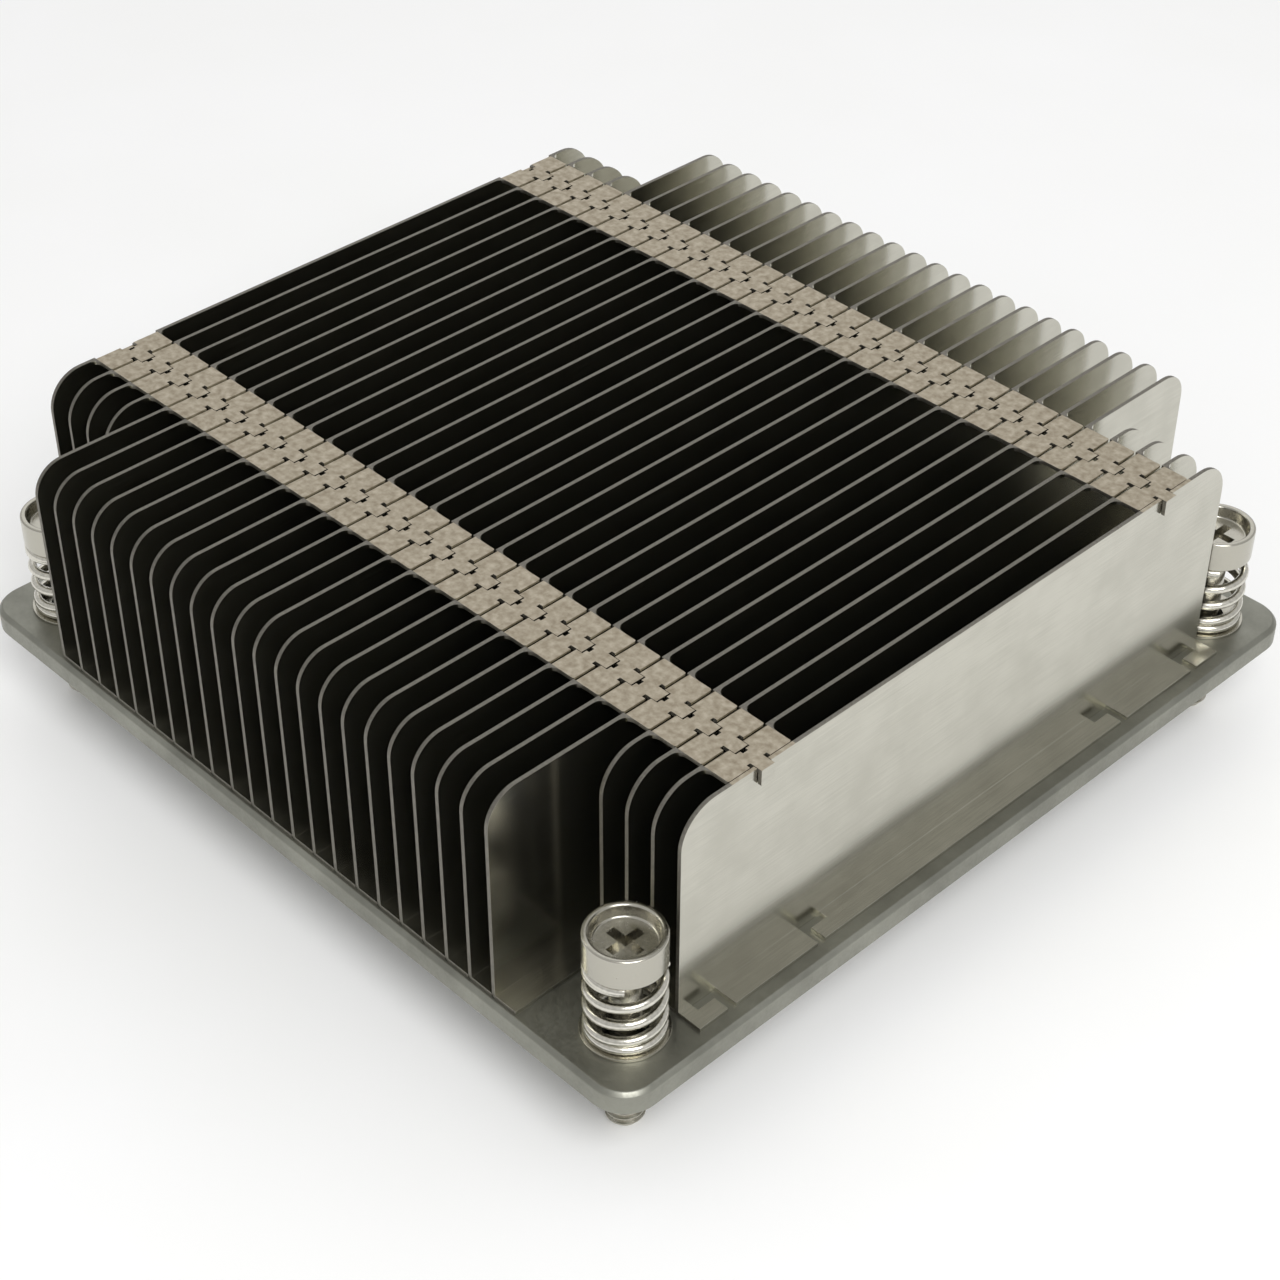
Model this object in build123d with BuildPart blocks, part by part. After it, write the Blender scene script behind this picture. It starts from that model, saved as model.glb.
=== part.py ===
# Passive heat sink for a server processor
#
# A square base plate carries thirty folded sheet fins that are locked together along two bands, and four
# captive spring screws at its corners. The origin is the centre of the contact face under the plate.
# +Z points from that face up through the fins, the air flows along Y, and the fins stand side by side
# along X. All sizes are in millimetres.

import math
import os

from build123d import *

# Square of the processor socket's screws, from axis to axis
screw_square_width = 80.0

# Base plate
plate_margin_beyond_screws = 6.25
plate_thickness = 2.3
plate_corner_radius = 3.5
plate_bevel = 0.4

# Fin stack
fin_count = 30
fin_pitch = 3.0
fin_thickness = 0.4
fin_top_height = 24.5
fin_end_inset = 0.65
fin_to_washer_clearance = 0.2
fin_corner_radius = 5.0
fold_bevel = 0.3
fin_seam = 0.05
stack_offset = -0.3

# Zipper lock on the top flanges
lock_band_beyond_corner = 0.65
lock_band_width = 7.3
tongue_width = 1.5
tongue_hook_depth = 1.2
lock_clearance = 0.05
tongue_side_clearance = 0.05
lock_window_length = 0.15

# Relief slots in the foot of the end fin
foot_slot_distance = 11.0
foot_slot_width = 0.9
foot_slot_leg = 2.4

# Spring screws
screw_head_radius = 3.6
screw_head_height = 3.2
screw_head_underside = 10.4
cup_wall = 0.6
cup_depth = 1.2
recess_span = 4.4
recess_slot = 1.1
recess_depth = 1.1
shank_radius = 1.45
thread_radius = 1.75
screw_length_below_plate = 8.5
thread_hole_clearance = 0.25

# Crescent retaining rings on the screws, in pockets under the plate
ring_thickness = 0.5
ring_outer_radius = 3.1
ring_fit = 0.05
ring_below_pocket_roof = 0.1
ring_above_contact_face = 0.1
ring_pocket_clearance = 0.3

# Washers under the springs
washer_radius = 3.9
washer_thickness = 0.3

# Compression springs
spring_outer_radius = 3.65
wire_radius = 0.45
spring_end_gap = 0.02
active_turns = 3.5
flat_turns_each_end = 0.75
first_coil_angle = 135.0
stations_per_turn = 8
wire_sides = 6

# Sizes and places worked out from the sizes above
half_square = screw_square_width / 2
plate_side = screw_square_width + 2 * plate_margin_beyond_screws
screw_zone_edge = half_square - washer_radius - fin_to_washer_clearance
long_fin_length = plate_side - 2 * fin_end_inset
short_fin_length = 2 * screw_zone_edge
lock_band_distance = short_fin_length - 2 * (fin_corner_radius + lock_band_beyond_corner) - lock_band_width
stack_start = stack_offset - fin_count * fin_pitch / 2
flange_reach = fin_pitch - fin_seam
lock_band_places = (-lock_band_distance / 2, lock_band_distance / 2)
tongue_end = fin_pitch + 2 * fin_thickness + lock_clearance
lock_window_end = 2 * fin_thickness + lock_clearance + lock_window_length
screw_places = (
    (half_square, -half_square),
    (half_square, half_square),
    (-half_square, half_square),
    (-half_square, -half_square),
)
hole_radius = thread_radius + thread_hole_clearance
ring_top = ring_above_contact_face + ring_thickness
thread_top = ring_above_contact_face - ring_fit
pocket_depth = ring_top + ring_below_pocket_roof
pocket_radius = ring_outer_radius + ring_pocket_clearance


def fin_face(number):
    """X of the outer face of a fin's web, counted from 1 at the -X end of the stack."""
    return stack_start + (number - 1) * fin_pitch


def fin_length(number):
    """Length along Y: the fins beside the screws stop short of their washers."""
    left = fin_face(number)
    right = left + tongue_end
    beside_screws = left < -screw_zone_edge or right > screw_zone_edge
    return short_fin_length if beside_screws else long_fin_length


def fin_stretches(number):
    """Stretches of a fin along Y as (start, end, has a top flange)."""
    half = fin_length(number) / 2
    if number == fin_count:
        return [(-half, half, False)]
    inner = (lock_band_distance - lock_band_width) / 2
    outer = (lock_band_distance + lock_band_width) / 2
    return [
        (-half, -outer, False),
        (-outer, -inner, True),
        (-inner, inner, False),
        (inner, outer, True),
        (outer, half, False),
    ]


def fin_section(face_x, end_y, flange_at_top):
    """Cross-section of the folded sheet, with or without the flange at its top."""
    foot = plate_thickness
    top = fin_top_height
    sheet = fin_thickness
    points = [(sheet, foot + sheet), (flange_reach, foot + sheet), (flange_reach, foot), (0, foot), (0, top)]
    if flange_at_top:
        points += [(flange_reach, top), (flange_reach, top - sheet), (sheet, top - sheet)]
    else:
        points += [(sheet, top)]
    folds = 2 if flange_at_top else 1

    with BuildSketch(Plane.XZ.offset(-end_y)) as section:
        with BuildLine():
            Polyline(*[(face_x + x, z) for x, z in points], close=True)
        make_face()
        outer_corners = section.vertices().group_by(Axis.X)[0].sort_by(Axis.Y)[:folds]
        chamfer(outer_corners, length=fold_bevel)
    return section.sketch


def tongue_section(face_x, end_y):
    """Side view of a lock tongue: it reaches over the next fin's web and hooks down behind it."""
    start = flange_reach - fin_thickness
    top = fin_top_height
    under = top - fin_thickness
    hook_tip = under - tongue_hook_depth
    hook_back = tongue_end - fin_thickness
    points = [
        (start, top),
        (start, under),
        (hook_back, under),
        (hook_back, hook_tip),
        (tongue_end, hook_tip),
        (tongue_end, top),
    ]

    with BuildSketch(Plane.XZ.offset(-end_y)) as section:
        with BuildLine():
            Polyline(*[(face_x + x, z) for x, z in points], close=True)
        make_face()
    return section.sketch


def foot_slots(face_x):
    """L-shaped relief slots in the foot of the end fin, one at each side of both lock bands."""
    with BuildSketch(Plane.XY.offset(plate_thickness)) as slots:
        for band_y in lock_band_places:
            for side in (-1, 1):
                slot_y = band_y + side * foot_slot_distance / 2
                with Locations((face_x + fin_thickness, slot_y)):
                    Rectangle(flange_reach, foot_slot_width, align=(Align.MIN, Align.CENTER))
                with Locations((face_x + fin_thickness, slot_y + side * foot_slot_leg / 2)):
                    Rectangle(foot_slot_width, foot_slot_leg, align=(Align.MIN, Align.CENTER))
    return slots.sketch


def build_fin(number):
    """One fin: a web with a foot flange, top flanges at the lock bands, and the lock features."""
    face_x = fin_face(number)
    window_width = tongue_width + 2 * tongue_side_clearance
    window_height = fin_thickness + lock_clearance

    with BuildPart() as fin:
        for start, end, flange_at_top in fin_stretches(number):
            extrude(fin_section(face_x, end, flange_at_top), amount=end - start)

        web_ends = fin.edges().filter_by(Axis.X).group_by(Axis.Z)[-1].sort_by(Axis.Y)
        fillet([web_ends[0], web_ends[-1]], radius=fin_corner_radius)

        # Window through the fold, for the tongue of the fin before this one
        with BuildSketch(Plane.XY.offset(fin_top_height - window_height)):
            with Locations(*[(face_x + lock_window_end / 2, y) for y in lock_band_places]):
                Rectangle(lock_window_end, window_width)
        extrude(amount=window_height, mode=Mode.SUBTRACT)

        if number < fin_count:
            for y in lock_band_places:
                extrude(tongue_section(face_x, y + tongue_width / 2), amount=tongue_width)
        else:
            extrude(foot_slots(face_x), amount=fin_thickness, mode=Mode.SUBTRACT)
    return fin


def build_base_plate():
    """Base plate with rounded corners, a bevelled top edge, screw holes and pockets for the rings."""
    with BuildPart() as base_plate:
        with BuildSketch(Plane.XY):
            RectangleRounded(plate_side, plate_side, plate_corner_radius)
        extrude(amount=plate_thickness)
        chamfer(base_plate.faces().sort_by(Axis.Z)[-1].edges(), length=plate_bevel)
        with GridLocations(screw_square_width, screw_square_width, 2, 2):
            Hole(radius=hole_radius)
        with BuildSketch(Plane.XY):
            with GridLocations(screw_square_width, screw_square_width, 2, 2):
                Circle(pocket_radius)
        extrude(amount=pocket_depth, mode=Mode.SUBTRACT)
    return base_plate


def build_spring_screw(place):
    """Captive screw: cupped head with a cross recess, plain shank, and a thread below the ring."""
    x, y = place
    head_top = screw_head_underside + screw_head_height
    cup_radius = screw_head_radius - cup_wall
    cup_floor = head_top - cup_depth
    thread_end = -screw_length_below_plate
    side_view = Plane((x, y, 0), x_dir=(1, 0, 0), z_dir=(0, -1, 0))
    turning_axis = Axis((x, y, 0), (0, 0, 1))

    with BuildPart() as screw:
        with BuildSketch(side_view):
            with BuildLine():
                Polyline(
                    (0, cup_floor),
                    (cup_radius, cup_floor),
                    (cup_radius, head_top),
                    (screw_head_radius, head_top),
                    (screw_head_radius, screw_head_underside),
                    (shank_radius, screw_head_underside),
                    (shank_radius, thread_top),
                    (thread_radius, thread_top),
                    (thread_radius, thread_end),
                    (0, thread_end),
                    close=True,
                )
            make_face()
        revolve(axis=turning_axis)

        with BuildSketch(Plane((x, y, cup_floor), x_dir=(1, 0, 0), z_dir=(0, 0, -1))):
            Rectangle(recess_span, recess_slot)
            Rectangle(recess_slot, recess_span)
        extrude(amount=recess_depth, mode=Mode.SUBTRACT)
    return screw


def build_retaining_ring(place):
    """Crescent ring pushed onto a screw's shank from the side, above its thread."""
    bore_radius = shank_radius + ring_fit
    legs = (Align.CENTER, Align.MAX)
    with BuildPart() as ring:
        with BuildSketch(Plane.XY.offset(ring_top)):
            with Locations(place):
                Circle(ring_outer_radius)
                Rectangle(2 * ring_outer_radius, ring_outer_radius, align=legs, mode=Mode.SUBTRACT)
                Rectangle(2 * ring_outer_radius, bore_radius, align=legs)
                Circle(bore_radius, mode=Mode.SUBTRACT)
                Rectangle(2 * bore_radius, bore_radius, align=legs, mode=Mode.SUBTRACT)
        extrude(amount=-ring_thickness)
    return ring


def build_spring_washer(place):
    """Flat washer on the plate that the spring stands on."""
    x, y = place
    with BuildPart() as washer:
        with BuildSketch(Plane.XY.offset(plate_thickness)):
            with Locations((x, y)):
                Circle(washer_radius)
                Circle(hole_radius, mode=Mode.SUBTRACT)
        extrude(amount=washer_thickness)
    return washer


def coil_height(turn):
    """Height of the wire's centre after a number of turns: flat end coils and an even rise between."""
    low = plate_thickness + washer_thickness + wire_radius
    high = screw_head_underside - spring_end_gap - wire_radius
    rise = min(max(turn - flat_turns_each_end, 0), active_turns)
    return low + (high - low) * rise / active_turns


def build_screw_spring(place):
    """Compression spring of round wire, built as short straight runs between even stations."""
    x, y = place
    coil_radius = spring_outer_radius - wire_radius
    turns = active_turns + 2 * flat_turns_each_end
    stations = round(turns * stations_per_turn)
    start_angle = first_coil_angle - 360 * flat_turns_each_end

    centres = []
    for station in range(stations + 1):
        turn = station / stations_per_turn
        angle = math.radians(start_angle + 360 * turn)
        height = coil_height(turn)
        centres.append((x + coil_radius * math.cos(angle), y + coil_radius * math.sin(angle), height))

    with BuildPart() as spring:
        with BuildLine() as wire_line:
            Polyline(*centres)
        run = wire_line.line % 0
        with BuildSketch(Plane(wire_line.line @ 0, x_dir=run.cross(Vector(0, 0, 1)), z_dir=run)):
            RegularPolygon(wire_radius, wire_sides)
        sweep(transition=Transition.RIGHT)
    return spring


def save(piece, label):
    """Label a finished piece and write it to its own file."""
    piece.part.label = label
    export_step(piece.part, f"parts/{label}.step")


os.makedirs("parts", exist_ok=True)

save(build_base_plate(), "base_plate")

for number in range(1, fin_count + 1):
    save(build_fin(number), f"fin_{number:02d}")

for number, place in enumerate(screw_places, start=1):
    save(build_spring_screw(place), f"spring_screw_{number}")
    save(build_screw_spring(place), f"screw_spring_{number}")
    save(build_spring_washer(place), f"spring_washer_{number}")
    save(build_retaining_ring(place), f"retaining_ring_{number}")
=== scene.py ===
"""Looks of a passive server heat sink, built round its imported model.

Thirty folded sheet fins stand on a square base plate and lock together along two bands. Four captive
spring screws stand at the corners. Lengths here are metres, as in the frame, and MM turns millimetres
into them. +Z points up through the fins, the air flows along Y, and the fins stand side by side along X.
"""

import math

import bmesh
import bpy
from mathutils import Matrix, Vector


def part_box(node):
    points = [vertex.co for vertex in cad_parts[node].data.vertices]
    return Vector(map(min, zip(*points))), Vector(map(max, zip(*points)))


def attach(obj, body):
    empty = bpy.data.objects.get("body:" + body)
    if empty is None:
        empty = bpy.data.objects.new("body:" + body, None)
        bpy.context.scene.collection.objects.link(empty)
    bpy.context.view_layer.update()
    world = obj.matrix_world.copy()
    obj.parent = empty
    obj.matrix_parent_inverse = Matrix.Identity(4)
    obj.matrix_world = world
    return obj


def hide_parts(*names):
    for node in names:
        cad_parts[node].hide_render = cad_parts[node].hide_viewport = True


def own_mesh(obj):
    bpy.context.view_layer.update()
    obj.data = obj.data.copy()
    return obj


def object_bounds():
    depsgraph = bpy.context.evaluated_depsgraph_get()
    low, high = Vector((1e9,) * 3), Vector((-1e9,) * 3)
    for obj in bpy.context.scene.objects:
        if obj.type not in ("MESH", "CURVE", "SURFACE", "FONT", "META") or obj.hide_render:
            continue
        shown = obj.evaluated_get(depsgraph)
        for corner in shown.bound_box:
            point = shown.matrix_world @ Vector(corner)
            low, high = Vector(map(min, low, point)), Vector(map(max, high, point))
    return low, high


bl_info = {
    "name": "Spring screw heat sink",
    "version": (1, 0, 0),
    "blender": (4, 5, 0),
    "location": "View3D > Sidebar > Heat Sink",
    "description": "Finishes the fins, plate, screws and springs of a packed heat sink",
    "category": "Object",
}

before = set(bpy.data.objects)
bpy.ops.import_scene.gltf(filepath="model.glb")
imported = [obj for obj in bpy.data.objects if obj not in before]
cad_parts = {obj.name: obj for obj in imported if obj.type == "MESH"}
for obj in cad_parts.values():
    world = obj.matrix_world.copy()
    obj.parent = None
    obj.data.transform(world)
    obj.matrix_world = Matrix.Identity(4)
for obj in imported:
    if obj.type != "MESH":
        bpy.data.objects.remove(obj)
cad_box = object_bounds()

MM = 0.001

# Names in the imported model. The end fin is the last one, and it has no flanges at its top
CORNERS = (1, 2, 3, 4)
FIN_NAMES = sorted(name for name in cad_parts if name.startswith("fin_"))
END_FIN = FIN_NAMES[-1]

# Tolerances for merging a copy of a node and for finding its vertices, edges and faces
MERGE_DISTANCE = 0.001 * MM
FLAT_ANGLE = math.radians(0.5)
NEAR = 0.02 * MM

# Edges that turn less than this are shaded smooth, and large faces weigh most in their normals
SMOOTH_ANGLE = math.radians(35)
WIRE_SMOOTH_ANGLE = math.radians(50)
LARGE_FACE_WEIGHT = 100

# Edges that turn more than this are softened, with so many segments
SHEET_EDGE_ANGLE = math.radians(28)
BLANK_EDGE_ANGLE = math.radians(30)
RIM_ANGLE = math.radians(40)
EDGE_SEGMENTS = 2
PLATE_EDGE_SEGMENTS = 3
RIM_SEGMENTS = 4

# Folded sheet of the fins, with lock bands on both sides of the middle
SHEET = 0.4 * MM
LOCK_BAND_Y = 26.6 * MM
LOCK_BAND_WIDTH = 7.3 * MM
TONGUE_WIDTH = 1.5 * MM

# Upper corners of the fins: the solids' radius, and a length between that of the short and long fins
SOLID_CORNER_RADIUS = 5.0 * MM
SHORT_FIN_LENGTH = 80 * MM
CORNER_SEGMENTS = 10
FLANGE_CORNER_SEGMENTS = 4

# Pierced marks of the lock: a hole past each tongue's tip and a relief notch at each side of its root
LOCK_HOLE_X = 1.03 * MM
LOCK_HOLE_LENGTH = 0.55 * MM
LOCK_HOLE_WIDTH = 0.6 * MM
RELIEF_DEPTH = 0.4 * MM
RELIEF_WIDTH = 0.4 * MM
MARK_HEIGHT = 3 * SHEET

# Surfaces of a fin: their material numbers, and the least or most tilt of a face's normal on each
SHEARED_SURFACE = 1
FLANGE_SURFACE = 2
FOLD_TILT = 0.3
FLANGE_TILT = 0.6
WEB_TILT = 0.8

# Softened edges of the washers and the retaining rings
STAMPED_EDGE_BEVEL = 0.06 * MM

# Screw head, with a cup that narrows downwards
HEAD_RADIUS = 3.6 * MM
HEAD_HEIGHT = 3.2 * MM
HEAD_STEPS = 64
CUP_WALL = 0.6 * MM
CUP_DEPTH = 1.2 * MM
CUP_TAPER = 0.94

# Drive recess in the floor of the cup, tapered towards its own floor
RECESS_SPAN = 4.4 * MM
RECESS_SLOT = 1.1 * MM
RECESS_DEPTH = 1.1 * MM
RECESS_TAPER = 0.62

# Screw shank and thread. The spare turns are cut off at both ends
SHANK_RADIUS = 1.45 * MM
THREAD_RADIUS = 1.75 * MM
THREAD_TOP = 0.05 * MM
THREAD_TIP = 0.5 * MM
THREAD_CREST = 0.12 * MM
THREAD_STEPS = 32
SPARE_TURNS = 2

# Springs, whose wire starts to rise at an angle from +X. The reach is a little more than the wire's
# radius, to find the vertices of its open ends
SPRING_RADIUS = 3.2 * MM
WIRE_RADIUS = 0.45 * MM
WIRE_REACH = WIRE_RADIUS * 1.05
WIRE_SIDES = 14
FIRST_RISE_ANGLE = math.radians(135)
ACTIVE_TURNS = 3.5
FLAT_TURNS = 0.75
STEPS_PER_TURN = 36

# Middle range of a noise, past which it counts as its lowest or highest
NOISE_RANGE = (0.3, 0.7)

# Studio floor and lights
FLOOR_SIZE = 6
KEY_PLACE = (0.40, -0.22, 0.50)
KEY_TARGET = (0, 0, 0.01)
KEY_SIZE = 0.35
SKY_PLACE = (-0.36, 0.35, 0.41)
SKY_TARGET = (0, 0, 0.02)
SKY_SIZE = 0.6

# Camera, as seen in the photograph
CAMERA_AZIMUTH = math.radians(45.721)
CAMERA_ELEVATION = math.radians(38.516)
CAMERA_ROLL = math.radians(0.214)
CAMERA_DISTANCE = 239.8 * MM
CAMERA_TARGET = Vector((10.763, -9.961, 10.0)) * MM
CAMERA_LENS = 71.94
CAMERA_SENSOR = 36.0
CAMERA_CLIP_START = 0.01
CAMERA_CLIP_END = 20


# Helpers for selecting and shaping


def select_only(piece):
    """Leaves edit mode and makes one object, or none, the only selected one."""
    if bpy.context.object is not None and bpy.context.object.mode != "OBJECT":
        bpy.ops.object.mode_set(mode="OBJECT")
    bpy.ops.object.select_all(action="DESELECT")
    if piece is not None:
        piece.hide_viewport = False
        bpy.context.view_layer.objects.active = piece
        piece.select_set(True)


def edit_all(piece):
    """Opens one piece in edit mode with all of it selected."""
    select_only(piece)
    bpy.ops.object.mode_set(mode="EDIT")
    bpy.ops.mesh.select_mode(type="VERT")
    bpy.ops.mesh.select_all(action="SELECT")


def select_parts(piece, kind, wanted):
    """Selects the VERT, EDGE or FACE elements of the open piece for which wanted(element) is true."""
    bpy.ops.mesh.select_mode(type=kind)
    bpy.ops.mesh.select_all(action="DESELECT")
    mesh = bmesh.from_edit_mesh(piece.data)
    elements = {"VERT": mesh.verts, "EDGE": mesh.edges, "FACE": mesh.faces}[kind]
    found = [element for element in elements if wanted(element)]
    for element in found:
        element.select_set(True)
    mesh.select_flush_mode()
    bmesh.update_edit_mesh(piece.data)
    return len(found)


def extrude_by(move):
    """Extrudes what is selected in the open piece."""
    bpy.ops.mesh.extrude_region_move(TRANSFORM_OT_translate={"value": move})


def face_outwards():
    """Turns all faces of the open piece outwards and leaves edit mode."""
    bpy.ops.mesh.select_all(action="SELECT")
    bpy.ops.mesh.normals_make_consistent(inside=False)
    bpy.ops.object.mode_set(mode="OBJECT")


def cut_across(place, normal, **settings):
    """Cuts the open piece with a plane."""
    bpy.ops.mesh.select_mode(type="VERT")
    bpy.ops.mesh.select_all(action="SELECT")
    bpy.ops.mesh.bisect(plane_co=place, plane_no=normal, threshold=MERGE_DISTANCE, **settings)


def apply_place(piece):
    """Moves a piece's place, turn and scale into its mesh."""
    select_only(piece)
    bpy.ops.object.transform_apply(location=True, rotation=True, scale=True)


def apply_modifier(piece, kind, **settings):
    """Adds a modifier to a piece and applies it."""
    select_only(piece)
    modifier = piece.modifiers.new(kind, kind)
    for key, value in settings.items():
        setattr(modifier, key, value)
    bpy.ops.object.modifier_apply(modifier=modifier.name)


def soften_edges(piece, width, segments, angle):
    """Rounds the edges of a piece that turn more than an angle."""
    apply_modifier(
        piece,
        "BEVEL",
        width=width,
        segments=segments,
        limit_method="ANGLE",
        angle_limit=angle,
    )


def cut_away(piece, cutter):
    """Cuts the volume of another object out of a piece."""
    apply_modifier(piece, "BOOLEAN", object=cutter, operation="DIFFERENCE", solver="EXACT")


def smooth(piece, angle):
    """Smooth shading across edges that turn less than an angle, with large faces kept flat."""
    select_only(piece)
    bpy.ops.object.shade_smooth_by_angle(angle=angle)
    apply_modifier(
        piece,
        "WEIGHTED_NORMAL",
        mode="FACE_AREA",
        weight=LARGE_FACE_WEIGHT,
        keep_sharp=True,
    )


def rename(piece, name):
    """Gives a piece and its mesh one name."""
    piece.name = name
    piece.data.name = name
    return piece


def join(pieces, name):
    """Joins pieces into the first one."""
    select_only(pieces[0])
    for piece in pieces[1:]:
        piece.select_set(True)
    bpy.ops.object.join()
    return rename(pieces[0], name)


def copy_of_node(node, name):
    """A new piece from a CAD node: its own mesh, with the loose triangles merged into clean faces."""
    piece = bpy.data.objects.new(name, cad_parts[node].data.copy())
    bpy.context.scene.collection.objects.link(piece)
    rename(piece, name)
    edit_all(piece)
    bpy.ops.mesh.customdata_custom_splitnormals_clear()
    bpy.ops.mesh.remove_doubles(threshold=MERGE_DISTANCE)
    bpy.ops.mesh.dissolve_limited(angle_limit=FLAT_ANGLE)
    bpy.ops.object.mode_set(mode="OBJECT")
    piece.data.materials.clear()
    return piece


def single_point(name, place):
    """A new piece that is one vertex at a place, open in edit mode and selected."""
    select_only(None)
    bpy.ops.mesh.primitive_plane_add(size=MM, location=place)
    piece = rename(bpy.context.object, name)
    apply_place(piece)
    edit_all(piece)
    bpy.ops.mesh.merge(type="CENTER")
    return piece


def turned_piece(name, centre, profile):
    """A turned piece: a line of (radius, height) points, extruded point by point and spun about Z."""
    start_radius, start_height = profile[0]
    piece = single_point(name, (centre.x + start_radius, centre.y, start_height))
    for (radius, height), (next_radius, next_height) in zip(profile, profile[1:]):
        extrude_by((next_radius - radius, 0, next_height - height))
    bpy.ops.mesh.select_all(action="SELECT")
    bpy.ops.mesh.spin(steps=HEAD_STEPS, angle=math.tau, center=(centre.x, centre.y, 0), axis=(0, 0, 1))
    bpy.ops.mesh.select_all(action="SELECT")
    bpy.ops.mesh.remove_doubles(threshold=MERGE_DISTANCE)
    bpy.ops.mesh.dissolve_degenerate(threshold=MERGE_DISTANCE)
    face_outwards()
    return piece


# Helpers for the frame


def place_in_frame(piece, body, slot, *nodes):
    """Ties a finished piece to its body and hides the nodes that it stands for; the slot is not used."""
    select_only(None)
    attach(piece, body)
    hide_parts(*nodes)


def dress_node(node, name, bevel, segments, make, body, slot):
    """A copy of a node that keeps its shape, with soft edges and its finish."""
    piece = copy_of_node(node, name)
    soften_edges(piece, bevel, segments, BLANK_EDGE_ANGLE)
    piece.data.materials.append(material_made_by(make))
    smooth(piece, SMOOTH_ANGLE)
    place_in_frame(piece, body, slot, node)


def screw_centre(corner):
    """Axis of a screw, from the middle of its washer."""
    low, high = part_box(f"spring_washer_{corner}")
    return (low + high) / 2


# Materials


def linear(hex_colour):
    """An sRGB hex colour as a linear RGBA tuple."""
    parts = [int(hex_colour[i : i + 2], 16) / 255 for i in (1, 3, 5)]
    return (*[c / 12.92 if c <= 0.04045 else ((c + 0.055) / 1.055) ** 2.4 for c in parts], 1.0)


def add_node(tree, kind, inputs=(), **settings):
    """Adds a node with its settings, and links or sets its inputs by name or number."""
    node = tree.nodes.new(kind)
    for key, value in settings.items():
        setattr(node, key, value)
    for socket, value in dict(inputs).items():
        if isinstance(value, bpy.types.NodeSocket):
            tree.links.new(value, node.inputs[socket])
        else:
            node.inputs[socket].default_value = value
    return node


def new_surface(name, values):
    """A material whose shader has these values."""
    material = bpy.data.materials.new(name)
    material.use_nodes = True
    shader = material.node_tree.nodes["Principled BSDF"]
    for socket, value in values.items():
        shader.inputs[socket].default_value = value
    return material


def object_noise(material, size, stretch=(1, 1, 1), detail=3.0):
    """A noise fixed to the object whose grain is about size metres, longer by stretch on each axis."""
    tree = material.node_tree
    place = add_node(tree, "ShaderNodeTexCoord").outputs["Object"]
    scale = [1 / (size * s) for s in stretch]
    grid = add_node(tree, "ShaderNodeMapping", {"Vector": place, "Scale": scale}).outputs["Vector"]
    inputs = {"Vector": grid, "Scale": 1.0, "Detail": detail, "Roughness": 0.55}
    return add_node(tree, "ShaderNodeTexNoise", inputs).outputs[0]


def vary(material, colour=None, roughness=None, relief=None, colour_range=NOISE_RANGE):
    """Lets noises vary a surface.

    Colour and roughness are each a noise and the two ends that it runs between, and relief is a noise
    and its depth.
    """
    tree = material.node_tree
    shader = tree.nodes["Principled BSDF"]
    if colour:
        noise, first, second = colour
        low, high = colour_range
        inputs = {"Value": noise, "From Min": low, "From Max": high}
        share = add_node(tree, "ShaderNodeMapRange", inputs).outputs["Result"]
        inputs = {"Factor": share, "A": linear(first), "B": linear(second)}
        mixed = add_node(tree, "ShaderNodeMix", inputs, data_type="RGBA").outputs["Result"]
        tree.links.new(mixed, shader.inputs["Base Color"])
    if roughness:
        noise, first, second = roughness
        low, high = NOISE_RANGE
        inputs = {"Value": noise, "From Min": low, "From Max": high, "To Min": first, "To Max": second}
        spread = add_node(tree, "ShaderNodeMapRange", inputs).outputs["Result"]
        tree.links.new(spread, shader.inputs["Roughness"])
    if relief:
        noise, depth = relief
        inputs = {"Strength": 1.0, "Distance": depth, "Height": noise}
        normal = add_node(tree, "ShaderNodeBump", inputs).outputs["Normal"]
        tree.links.new(normal, shader.inputs["Normal"])


def mill_finish_aluminium():
    """Rolled aluminium sheet: a grey metal with faint streaks along the rolling direction."""
    material = new_surface("mill_finish_aluminium", {"Metallic": 1.0})
    # Rolling marks run along the fins, some hundredths of a millimetre apart, drawn coarser to show
    streaks = object_noise(material, 0.12 * MM, stretch=(1, 60, 1))
    clouds = object_noise(material, 5 * MM)
    inputs = {0: streaks, 1: clouds}
    both = add_node(material.node_tree, "ShaderNodeMath", inputs, operation="MULTIPLY").outputs[0]
    vary(
        material,
        colour=(both, "#BAB8AD", "#C7C5BA"),
        colour_range=(0.15, 0.35),
        roughness=(streaks, 0.19, 0.22),
        relief=(streaks, 0.001 * MM),
    )
    return material


def sheared_aluminium():
    """Sheared edge of the sheet: torn metal, duller and darker than the rolled face."""
    material = new_surface("sheared_aluminium", {"Metallic": 1.0, "Roughness": 0.5})
    # Torn grain of the cut, some hundredths of a millimetre across, drawn coarser to show
    grain = object_noise(material, 0.25 * MM)
    vary(material, colour=(grain, "#6D6A63", "#89857C"), relief=(grain, 0.01 * MM))
    return material


def pressed_aluminium():
    """Flanges pressed flat when the fins are locked: matt and slightly warm, with a mottled grain."""
    material = new_surface("pressed_aluminium_flange", {"Metallic": 1.0})
    # Spots where the press tool touched, and the sheet's own grain, which is drawn coarser to show
    mottle = object_noise(material, 0.7 * MM, detail=4.0)
    grain = object_noise(material, 0.18 * MM)
    vary(
        material,
        colour=(mottle, "#9F9481", "#BFB6A4"),
        roughness=(mottle, 0.6, 0.46),
        relief=(grain, 0.006 * MM),
    )
    return material


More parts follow.
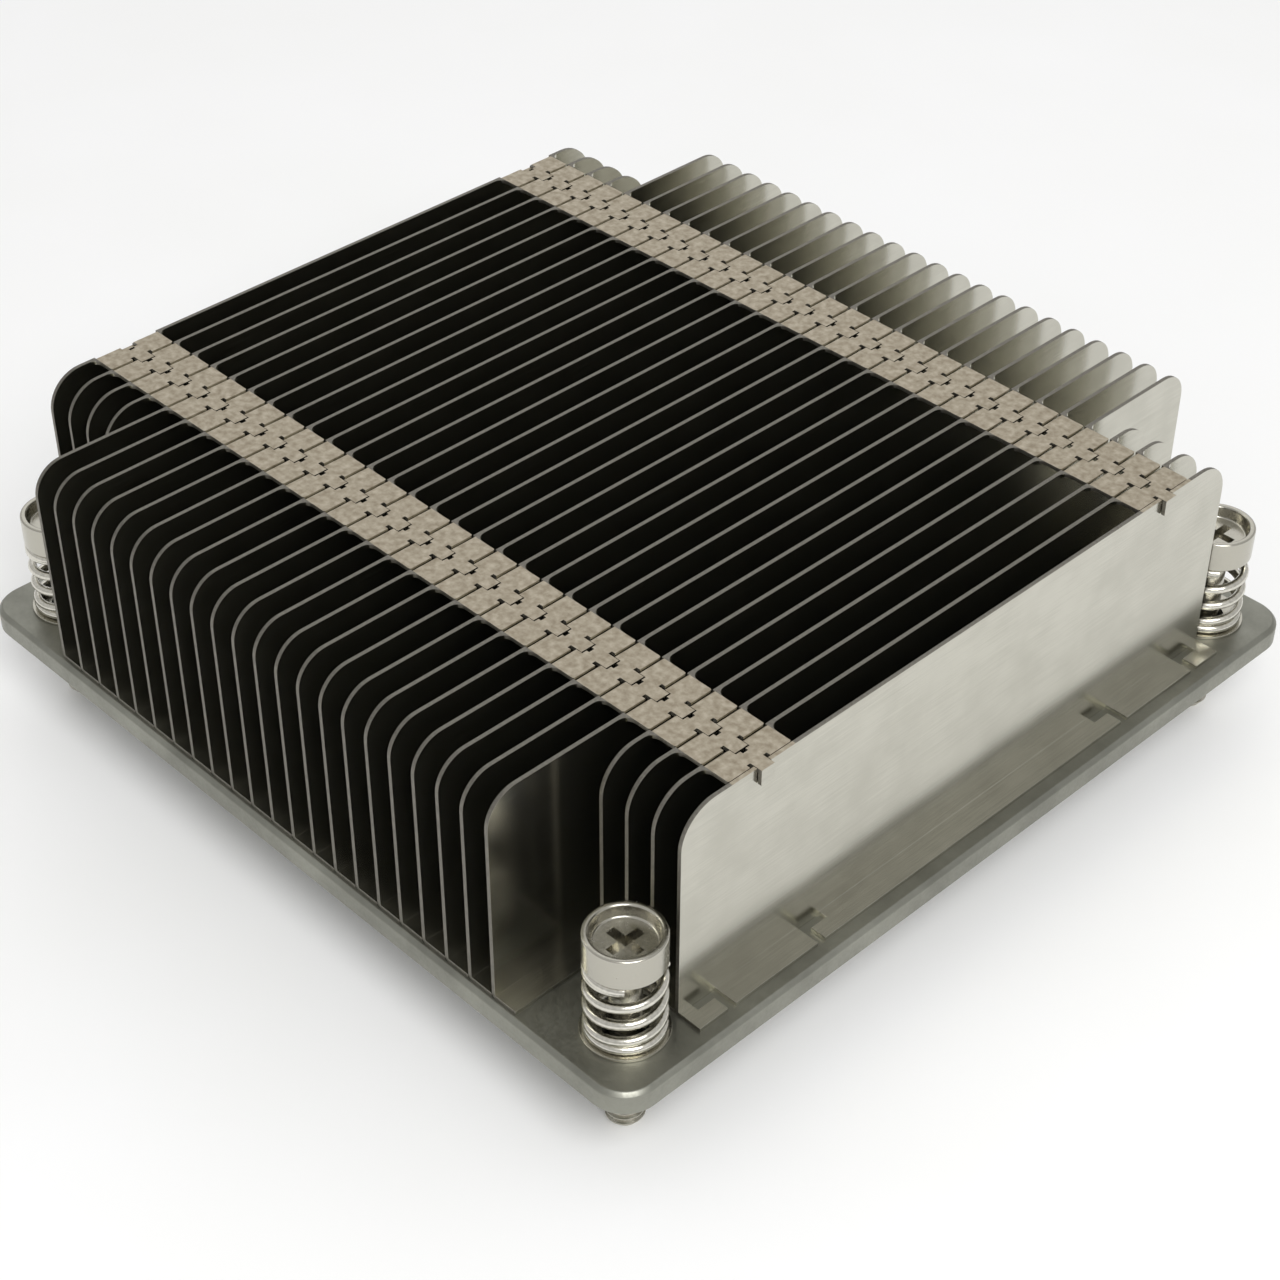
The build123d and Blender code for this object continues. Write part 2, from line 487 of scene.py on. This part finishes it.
def plate_aluminium():
    """Blanked and tumbled aluminium plate: matt grey-green metal with a fine grain."""
    material = new_surface("tumbled_aluminium_plate", {"Metallic": 1.0})
    # Dents of the tumbling grit, drawn coarser to show, and wider patches of a duller tone
    grain = object_noise(material, 0.35 * MM)
    patches = object_noise(material, 6 * MM)
    vary(
        material,
        colour=(patches, "#84847B", "#9B9B91"),
        roughness=(grain, 0.36, 0.5),
        relief=(grain, 0.006 * MM),
    )
    return material


def nickel_plate():
    """Nickel-plated steel: bright and slightly warm, with soft reflections."""
    material = new_surface("nickel_plated_steel", {"Metallic": 1.0, "Base Color": linear("#BAB7AC")})
    # Slight waves of the plating
    grain = object_noise(material, 0.5 * MM)
    vary(material, roughness=(grain, 0.16, 0.28), relief=(grain, 0.003 * MM))
    return material


def spring_wire():
    """Drawn and plated spring wire: bright metal with a fine grain."""
    material = new_surface("plated_spring_wire", {"Metallic": 1.0})
    # Grain left by drawing and plating, drawn coarser to show
    grain = object_noise(material, 0.3 * MM)
    vary(
        material,
        colour=(grain, "#C9C6BB", "#DEDBD1"),
        roughness=(grain, 0.14, 0.26),
        relief=(grain, 0.003 * MM),
    )
    return material


def ring_steel():
    """Stamped spring steel of the retaining rings: plain grey metal with a faint grain."""
    material = new_surface("stamped_spring_steel", {"Metallic": 1.0, "Roughness": 0.32})
    # Grain of the rolled strip, drawn coarser to show
    grain = object_noise(material, 0.3 * MM)
    vary(material, colour=(grain, "#8D8D88", "#A4A49E"), relief=(grain, 0.004 * MM))
    return material


def studio_paper():
    """Matt white studio paper: pale and even, with soft shadows."""
    material = new_surface("matt_white_paper", {"Roughness": 1.0, "Specular IOR Level": 0.0})
    fibres = object_noise(material, 40 * MM)
    vary(material, colour=(fibres, "#FBFBFA", "#FDFDFD"))
    return material


made_materials = {}


def material_made_by(make):
    """The material that a function makes, made once."""
    if make not in made_materials:
        made_materials[make] = make()
    return made_materials[make]


# Sizes and looks that a user can change


class FinFinish(bpy.types.PropertyGroup):
    """Finish of the folded fins."""

    long_fin_corner: bpy.props.FloatProperty(
        name="Long fin corner",
        description="Radius of the upper corners of the long fins",
        default=3.2 * MM,
        unit="LENGTH",
    )
    short_fin_corner: bpy.props.FloatProperty(
        name="Short fin corner",
        description="Radius of the upper corners of the short fins beside the screws",
        default=3.8 * MM,
        unit="LENGTH",
    )
    flange_corner: bpy.props.FloatProperty(
        name="Flange corner",
        description="Radius of the flange's outer corners at the lock bands, seen from above",
        default=0.2 * MM,
        unit="LENGTH",
    )
    flange_root: bpy.props.FloatProperty(
        name="Flange root",
        description="Radius between a flange and the sheared top of its fin, seen from above",
        default=0.9 * MM,
        unit="LENGTH",
    )
    edge_bevel: bpy.props.FloatProperty(
        name="Sheet edge",
        description="Width of the softened edges of the sheet",
        default=0.03 * MM,
        unit="LENGTH",
    )


class PlateFinish(bpy.types.PropertyGroup):
    """Finish of the base plate."""

    edge_bevel: bpy.props.FloatProperty(
        name="Plate edge",
        description="Width of the softened edges of the plate",
        default=0.1 * MM,
        unit="LENGTH",
    )


class ScrewFinish(bpy.types.PropertyGroup):
    """Finish of the spring screws."""

    rim_bevel: bpy.props.FloatProperty(
        name="Rim rounding",
        description="Width of the rounded edges of the head",
        default=0.2 * MM,
        unit="LENGTH",
    )
    thread_pitch: bpy.props.FloatProperty(
        name="Thread pitch",
        description="Rise of the thread in one turn",
        default=0.6 * MM,
        unit="LENGTH",
    )


class StageLight(bpy.types.PropertyGroup):
    """Light of the studio."""

    key_power: bpy.props.FloatProperty(
        name="Key light",
        description="Power of the key light",
        default=2.6,
        unit="POWER",
    )
    sky_power: bpy.props.FloatProperty(
        name="Sky panel",
        description="Power of the soft panel over the fins",
        default=0.5,
        unit="POWER",
    )
    room_level: bpy.props.FloatProperty(
        name="Room",
        description="Level of the even light of the room",
        default=0.6,
    )


# Fins


def in_lock_band(y):
    """Whether a place along Y lies in one of the two lock bands."""
    return abs(abs(y) - LOCK_BAND_Y) < LOCK_BAND_WIDTH / 2


def lock_mark_cutter():
    """Boxes that pierce the flanges of one fin whose web stands at X = 0."""
    # The end fin has no tongues, so its box ends at its foot's edge, which lies below the flanges' edges
    low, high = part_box(END_FIN)
    flange_reach = high.x - low.x
    root_y = (TONGUE_WIDTH + RELIEF_WIDTH) / 2
    boxes = []
    for band_y in (-LOCK_BAND_Y, LOCK_BAND_Y):
        marks = [
            (LOCK_HOLE_X, band_y, LOCK_HOLE_LENGTH, LOCK_HOLE_WIDTH),
            (flange_reach, band_y - root_y, 2 * RELIEF_DEPTH, RELIEF_WIDTH),
            (flange_reach, band_y + root_y, 2 * RELIEF_DEPTH, RELIEF_WIDTH),
        ]
        for x, y, length, width in marks:
            select_only(None)
            bpy.ops.mesh.primitive_cube_add(size=1, location=(x, y, high.z))
            bpy.ops.transform.resize(value=(length, width, MARK_HEIGHT))
            boxes.append(bpy.context.object)
    cutter = join(boxes, "lock_mark_cutter")
    apply_place(cutter)
    return cutter


def tighten_corners(fin, low, high, radius):
    """Closes the two upper corners of a fin to a sharp edge and rounds them again."""

    def in_solid_corner(vert, end_y, sheet_face):
        inside = high.z - SOLID_CORNER_RADIUS + NEAR < vert.co.z
        at_end = abs(vert.co.y - end_y) < SOLID_CORNER_RADIUS - NEAR
        return inside and at_end and abs(vert.co.x - sheet_face) < NEAR

    def is_corner_edge(edge):
        return all(
            abs(v.co.z - high.z) < NEAR and min(abs(v.co.y - low.y), abs(v.co.y - high.y)) < NEAR
            for v in edge.verts
        )

    edit_all(fin)
    for end_y in (low.y, high.y):
        for sheet_face in (low.x, low.x + SHEET):
            bpy.context.scene.cursor.location = (sheet_face, end_y, high.z)
            select_parts(fin, "VERT", lambda vert: in_solid_corner(vert, end_y, sheet_face))
            bpy.ops.mesh.merge(type="CURSOR")
    bpy.ops.mesh.select_all(action="SELECT")
    bpy.ops.mesh.dissolve_limited(angle_limit=FLAT_ANGLE)
    select_parts(fin, "EDGE", is_corner_edge)
    bpy.ops.mesh.bevel(offset=radius, segments=CORNER_SEGMENTS, affect="EDGES")
    bpy.context.scene.cursor.location = (0, 0, 0)


def cut_at_bands(fin):
    """Cuts a fin at the bands' edges, so that flange tops and sheared edges are separate faces."""
    for side in (-1, 1):
        for edge in (-1, 1):
            band_edge = side * LOCK_BAND_Y + edge * LOCK_BAND_WIDTH / 2
            edit_all(fin)
            cut_across((0, band_edge, 0), (0, 1, 0))


def round_flange_corners(fin, low, high, web_side, radius):
    """Rounds, seen from above, the flange corners beside the web or away from it."""

    def is_corner(edge):
        first, second = (v.co for v in edge.verts)
        upright = abs(first.x - second.x) < NEAR and abs(first.y - second.y) < NEAR
        at_top = min(first.z, second.z) > high.z - SHEET - NEAR
        at_band_edge = abs(abs(abs(first.y) - LOCK_BAND_Y) - LOCK_BAND_WIDTH / 2) < NEAR
        from_web = first.x - low.x - SHEET
        at_side = abs(from_web) < NEAR if web_side else from_web > NEAR
        return upright and at_top and at_band_edge and at_side

    edit_all(fin)
    if select_parts(fin, "EDGE", is_corner):
        bpy.ops.mesh.bevel(offset=radius, segments=FLANGE_CORNER_SEGMENTS, affect="EDGES")


def assign_material(piece, number, wanted):
    """Gives the faces for which wanted(face) is true the piece's material of that number."""
    edit_all(piece)
    if select_parts(piece, "FACE", wanted):
        piece.active_material_index = number
        bpy.ops.object.material_slot_assign()


def finish_fin_surfaces(fin, low):
    """Rolled metal on the web and foot, sheared metal on the edges, pressed metal on the flanges."""
    above_foot = low.z + 2 * SHEET

    def is_flange_top(face):
        centre = face.calc_center_median()
        fold = face.normal.x < -FOLD_TILT and face.normal.z > FOLD_TILT
        flat = abs(face.normal.z) > FLANGE_TILT
        return centre.z > above_foot and in_lock_band(centre.y) and (flat or fold)

    def is_sheared(face):
        centre = face.calc_center_median()
        return abs(face.normal.x) < WEB_TILT and centre.z > above_foot and not is_flange_top(face)

    for make in (mill_finish_aluminium, sheared_aluminium, pressed_aluminium):
        fin.data.materials.append(material_made_by(make))
    assign_material(fin, SHEARED_SURFACE, is_sheared)
    assign_material(fin, FLANGE_SURFACE, is_flange_top)


def build_fin(node, finish, cutter):
    """One fin: a merged copy of its solid with tighter corners, rounded flanges and lock marks."""
    low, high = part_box(node)
    is_short = high.y - low.y < SHORT_FIN_LENGTH
    fin = copy_of_node(node, node + "_sheet")
    tighten_corners(fin, low, high, finish.short_fin_corner if is_short else finish.long_fin_corner)
    cut_at_bands(fin)
    if node != END_FIN:
        round_flange_corners(fin, low, high, True, finish.flange_root)
        round_flange_corners(fin, low, high, False, finish.flange_corner)
        cutter.location.x = low.x
        cut_away(fin, cutter)
    soften_edges(fin, finish.edge_bevel, EDGE_SEGMENTS, SHEET_EDGE_ANGLE)
    finish_fin_surfaces(fin, low)
    smooth(fin, SMOOTH_ANGLE)
    place_in_frame(fin, "base", "fin_aluminium", node)


# Screws


def recess_cutter(centre, top, angle):
    """One wing of the cross recess: a box that tapers towards its floor."""

    def is_floor(face):
        return face.calc_center_median().z < NEAR - RECESS_DEPTH

    select_only(None)
    bpy.ops.mesh.primitive_cube_add(size=1, location=(0, 0, 0))
    cutter = bpy.context.object
    bpy.ops.transform.resize(value=(RECESS_SPAN, RECESS_SLOT, 2 * RECESS_DEPTH))
    apply_place(cutter)
    edit_all(cutter)
    select_parts(cutter, "FACE", is_floor)
    bpy.ops.transform.resize(value=(RECESS_TAPER, RECESS_TAPER, 1), center_override=(0, 0, 0))
    bpy.ops.object.mode_set(mode="OBJECT")
    turn = Matrix.Rotation(angle, 4, "Z")
    cutter.matrix_world = Matrix.Translation((centre.x, centre.y, top)) @ turn
    apply_place(cutter)
    return cutter


def build_screw_head(corner, finish):
    """Cylinder head with a cup, a cross recess in its floor, and the plain shank below."""
    centre = screw_centre(corner)
    head_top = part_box(f"spring_screw_{corner}")[1].z
    under_head = head_top - HEAD_HEIGHT
    cup_radius = HEAD_RADIUS - CUP_WALL
    cup_floor = head_top - CUP_DEPTH
    profile = [
        (0, THREAD_TOP),
        (SHANK_RADIUS, THREAD_TOP),
        (SHANK_RADIUS, under_head),
        (HEAD_RADIUS, under_head),
        (HEAD_RADIUS, head_top),
        (cup_radius, head_top),
        (cup_radius * CUP_TAPER, cup_floor),
        (0, cup_floor),
    ]
    head = turned_piece(f"head_{corner}", centre, profile)
    soften_edges(head, finish.rim_bevel, RIM_SEGMENTS, RIM_ANGLE)
    for angle in (0, math.pi / 2):
        cutter = recess_cutter(centre, cup_floor, angle)
        cut_away(head, cutter)
        bpy.data.objects.remove(cutter)
    return head


def build_thread(corner, finish):
    """Rolled thread with a bevelled tip: one pitch of its profile, screwed upwards."""
    centre = screw_centre(corner)
    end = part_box(f"spring_screw_{corner}")[0].z
    pitch = finish.thread_pitch
    turns = math.ceil((THREAD_TOP - end) / pitch) + SPARE_TURNS
    flank = (pitch - 2 * THREAD_CREST) / 2
    depth = THREAD_RADIUS - SHANK_RADIUS

    select_only(None)
    bpy.ops.mesh.primitive_plane_add(size=MM, location=(centre.x, centre.y, end - pitch))
    thread = rename(bpy.context.object, f"thread_{corner}")
    edit_all(thread)
    bpy.ops.mesh.merge(type="CENTER")
    bpy.ops.transform.translate(value=(SHANK_RADIUS, 0, 0))
    for out, up in ((depth, flank), (0, THREAD_CREST), (-depth, flank), (0, THREAD_CREST)):
        extrude_by((out, 0, up))
    bpy.ops.object.mode_set(mode="OBJECT")
    apply_modifier(
        thread,
        "SCREW",
        axis="Z",
        angle=math.tau,
        screw_offset=pitch,
        iterations=turns,
        steps=THREAD_STEPS,
        render_steps=THREAD_STEPS,
        use_merge_vertices=True,
        merge_threshold=MERGE_DISTANCE,
    )
    apply_place(thread)

    edit_all(thread)
    bpy.ops.mesh.remove_doubles(threshold=MERGE_DISTANCE)
    cut_across((0, 0, THREAD_TOP), (0, 0, 1), clear_outer=True, use_fill=True)
    tip_start = end + THREAD_TIP
    cut_across((0, 0, tip_start), (0, 0, 1), clear_inner=True, use_fill=True)
    select_parts(thread, "FACE", lambda face: abs(face.calc_center_median().z - tip_start) < NEAR)
    extrude_by((0, 0, -THREAD_TIP))
    tip_scale = (SHANK_RADIUS - THREAD_TIP / 2) / SHANK_RADIUS
    tip_end = (centre.x, centre.y, end)
    bpy.ops.transform.resize(value=(tip_scale, tip_scale, 1), center_override=tip_end)
    face_outwards()
    return thread


def build_screw(corner, finish):
    """One captive screw: head, shank and thread in one piece."""
    parts = [build_screw_head(corner, finish), build_thread(corner, finish)]
    screw = join(parts, f"captive_screw_{corner}")
    screw.data.materials.append(material_made_by(nickel_plate))
    smooth(screw, SMOOTH_ANGLE)
    place_in_frame(screw, f"screw_{corner}", "screw_steel", f"spring_screw_{corner}")


# Springs


def wire_centre(centre, angle, height):
    """A point on the middle line of a spring's wire."""
    outward = Vector((math.cos(angle), math.sin(angle), 0))
    return Vector((centre.x, centre.y, height)) + outward * SPRING_RADIUS


def add_flat_turn(spring, centre, wire_end, angle):
    """Spins an open end of the wire, level, round the spring's axis, and closes it."""

    def at_open_end(vert):
        return vert.is_boundary and (vert.co - wire_end).length < WIRE_REACH

    edit_all(spring)
    select_parts(spring, "VERT", at_open_end)
    bpy.ops.mesh.spin(
        steps=round(STEPS_PER_TURN * FLAT_TURNS),
        angle=angle,
        center=(centre.x, centre.y, 0),
        axis=(0, 0, 1),
    )
    bpy.ops.mesh.edge_face_add()


def build_coil(corner, centre, low, high):
    """Wire of a spring: its section screwed up the active turns, then spun level at each end."""
    bottom = low.z + WIRE_RADIUS
    rise = high.z - WIRE_RADIUS - bottom
    active_angle = math.tau * ACTIVE_TURNS
    active_steps = round(STEPS_PER_TURN * ACTIVE_TURNS)
    start = wire_centre(centre, FIRST_RISE_ANGLE, bottom)
    finish = wire_centre(centre, FIRST_RISE_ANGLE + active_angle, bottom + rise)

    select_only(None)
    bpy.ops.mesh.primitive_circle_add(
        vertices=WIRE_SIDES,
        radius=WIRE_RADIUS,
        fill_type="NOTHING",
        location=start,
        rotation=(math.pi / 2, 0, FIRST_RISE_ANGLE),
    )
    spring = rename(bpy.context.object, f"coil_spring_{corner}")
    bpy.context.scene.cursor.location = (centre.x, centre.y, 0)
    bpy.ops.object.transform_apply(location=False, rotation=True, scale=False)
    bpy.ops.object.origin_set(type="ORIGIN_CURSOR")
    apply_modifier(
        spring,
        "SCREW",
        axis="Z",
        angle=active_angle,
        screw_offset=rise,
        iterations=1,
        steps=active_steps,
        render_steps=active_steps,
        use_merge_vertices=False,
    )
    apply_place(spring)
    add_flat_turn(spring, centre, start, -math.tau * FLAT_TURNS)
    add_flat_turn(spring, centre, finish, math.tau * FLAT_TURNS)
    edit_all(spring)
    bpy.ops.mesh.remove_doubles(threshold=MERGE_DISTANCE)
    face_outwards()
    return spring


def build_spring(corner):
    """One compression spring, built at one length; the real one shortens as its screw is pressed."""
    centre = screw_centre(corner)
    low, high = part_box(f"screw_spring_{corner}")
    spring = build_coil(corner, centre, low, high)
    spring.data.materials.append(material_made_by(spring_wire))
    smooth(spring, WIRE_SMOOTH_ANGLE)
    place_in_frame(spring, "base", "spring_steel", f"screw_spring_{corner}")

    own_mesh(spring)


# Plate, washers and rings


def build_plate(finish):
    """The base plate."""
    dress_node(
        "base_plate",
        name="base_plate_blank",
        bevel=finish.edge_bevel,
        segments=PLATE_EDGE_SEGMENTS,
        make=plate_aluminium,
        body="base",
        slot="base_aluminium",
    )


def build_washer(corner):
    """The flat washer under a spring."""
    dress_node(
        f"spring_washer_{corner}",
        name=f"washer_{corner}",
        bevel=STAMPED_EDGE_BEVEL,
        segments=EDGE_SEGMENTS,
        make=nickel_plate,
        body="base",
        slot="washer_steel",
    )


def build_ring(corner):
    """The crescent retaining ring under the plate, which moves down with its screw."""
    dress_node(
        f"retaining_ring_{corner}",
        name=f"crescent_ring_{corner}",
        bevel=STAMPED_EDGE_BEVEL,
        segments=EDGE_SEGMENTS,
        make=ring_steel,
        body=f"ring_{corner}",
        slot="ring_steel",
    )


# Stage


def add_area_light(name, place, target, size, power):
    """A square area light that looks at a point."""
    bpy.ops.object.light_add(type="AREA", location=place)
    light = bpy.context.object
    light.name = name
    light.data.size = size
    light.data.energy = power
    light.rotation_euler = (Vector(target) - Vector(place)).to_track_quat("-Z", "Y").to_euler()


def add_floor():
    """Pale floor at the height of the screws' tips."""
    bpy.ops.mesh.primitive_plane_add(size=FLOOR_SIZE, location=(0, 0, cad_box[0].z))
    floor = rename(bpy.context.object, "studio_floor")
    floor.data.materials.append(material_made_by(studio_paper))


def add_room(level):
    """Even white light from all sides."""
    world = bpy.data.worlds.new("studio_room")
    world.use_nodes = True
    bpy.context.scene.world = world
    background = world.node_tree.nodes["Background"]
    background.inputs["Color"].default_value = (1, 1, 1, 1)
    background.inputs["Strength"].default_value = level


def add_camera():
    """The camera of the photograph."""
    back = Vector((
        math.sin(CAMERA_AZIMUTH) * math.cos(CAMERA_ELEVATION),
        -math.cos(CAMERA_AZIMUTH) * math.cos(CAMERA_ELEVATION),
        math.sin(CAMERA_ELEVATION),
    ))
    bpy.ops.object.camera_add(location=CAMERA_TARGET + back * CAMERA_DISTANCE)
    camera = bpy.context.object
    roll = Matrix.Rotation(CAMERA_ROLL, 3, "Z")
    camera.rotation_euler = ((-back).to_track_quat("-Z", "Y").to_matrix() @ roll).to_euler()
    camera.data.sensor_width = CAMERA_SENSOR
    camera.data.lens = CAMERA_LENS
    camera.data.clip_start = CAMERA_CLIP_START
    camera.data.clip_end = CAMERA_CLIP_END
    bpy.context.scene.camera = camera


def build_stage(light):
    """Pale floor, soft studio light, an even room, and the camera."""
    select_only(None)
    add_floor()
    add_area_light("key", KEY_PLACE, KEY_TARGET, KEY_SIZE, light.key_power)
    add_area_light("sky_panel", SKY_PLACE, SKY_TARGET, SKY_SIZE, light.sky_power)
    add_room(light.room_level)
    add_camera()
    bpy.context.scene.view_settings.view_transform = "Standard"


# Operators


class HEATSINK_OT_fins(bpy.types.Operator):
    """Finish the folded fins: corners, lock marks and edges, in rolled, sheared and pressed metal"""

    bl_idname = "heatsink.fins"
    bl_label = "Fins"

    def execute(self, context):
        cutter = lock_mark_cutter()
        for name in FIN_NAMES:
            build_fin(name, context.scene.heat_sink_fins, cutter)
        bpy.data.objects.remove(cutter)
        return {"FINISHED"}


class HEATSINK_OT_plate(bpy.types.Operator):
    """Finish the base plate"""

    bl_idname = "heatsink.plate"
    bl_label = "Base plate"

    def execute(self, context):
        build_plate(context.scene.heat_sink_plate)
        return {"FINISHED"}


class HEATSINK_OT_screws(bpy.types.Operator):
    """Model the captive screws with cup, cross recess and thread"""

    bl_idname = "heatsink.screws"
    bl_label = "Spring screws"

    def execute(self, context):
        for corner in CORNERS:
            build_screw(corner, context.scene.heat_sink_screws)
        return {"FINISHED"}


class HEATSINK_OT_springs(bpy.types.Operator):
    """Model the compression springs"""

    bl_idname = "heatsink.springs"
    bl_label = "Springs"

    def execute(self, context):
        for corner in CORNERS:
            build_spring(corner)
        return {"FINISHED"}


class HEATSINK_OT_washers(bpy.types.Operator):
    """Finish the washers and the retaining rings"""

    bl_idname = "heatsink.washers"
    bl_label = "Washers and rings"

    def execute(self, context):
        for corner in CORNERS:
            build_washer(corner)
            build_ring(corner)
        return {"FINISHED"}


class HEATSINK_OT_stage(bpy.types.Operator):
    """Set up floor, lights, room and camera"""

    bl_idname = "heatsink.stage"
    bl_label = "Stage"

    def execute(self, context):
        build_stage(context.scene.heat_sink_light)
        return {"FINISHED"}


class HEATSINK_PT_sidebar(bpy.types.Panel):
    """Steps that dress the heat sink, in order, and their settings"""

    bl_idname = "HEATSINK_PT_sidebar"
    bl_label = "Heat Sink"
    bl_space_type = "VIEW_3D"
    bl_region_type = "UI"
    bl_category = "Heat Sink"

    def draw(self, context):
        for operator in OPERATORS:
            self.layout.operator(operator.bl_idname)
        for group in SETTINGS:
            settings = getattr(context.scene, group)
            for name in settings.__annotations__:
                self.layout.prop(settings, name)


SETTINGS = {
    "heat_sink_fins": FinFinish,
    "heat_sink_plate": PlateFinish,
    "heat_sink_screws": ScrewFinish,
    "heat_sink_light": StageLight,
}
OPERATORS = (
    HEATSINK_OT_fins,
    HEATSINK_OT_plate,
    HEATSINK_OT_screws,
    HEATSINK_OT_springs,
    HEATSINK_OT_washers,
    HEATSINK_OT_stage,
)


def register():
    """Registers the settings, the operators and the panel."""
    for name, group in SETTINGS.items():
        bpy.utils.register_class(group)
        setattr(bpy.types.Scene, name, bpy.props.PointerProperty(type=group))
    for kind in (*OPERATORS, HEATSINK_PT_sidebar):
        bpy.utils.register_class(kind)


def unregister():
    """Takes back what register did."""
    for kind in (HEATSINK_PT_sidebar, *reversed(OPERATORS)):
        bpy.utils.unregister_class(kind)
    for name, group in SETTINGS.items():
        delattr(bpy.types.Scene, name)
        bpy.utils.unregister_class(group)


def main():
    """Dresses the heat sink."""
    register()
    bpy.ops.heatsink.fins()
    bpy.ops.heatsink.plate()
    bpy.ops.heatsink.screws()
    bpy.ops.heatsink.springs()
    bpy.ops.heatsink.washers()
    bpy.ops.heatsink.stage()


if __name__ == "__main__":
    main()
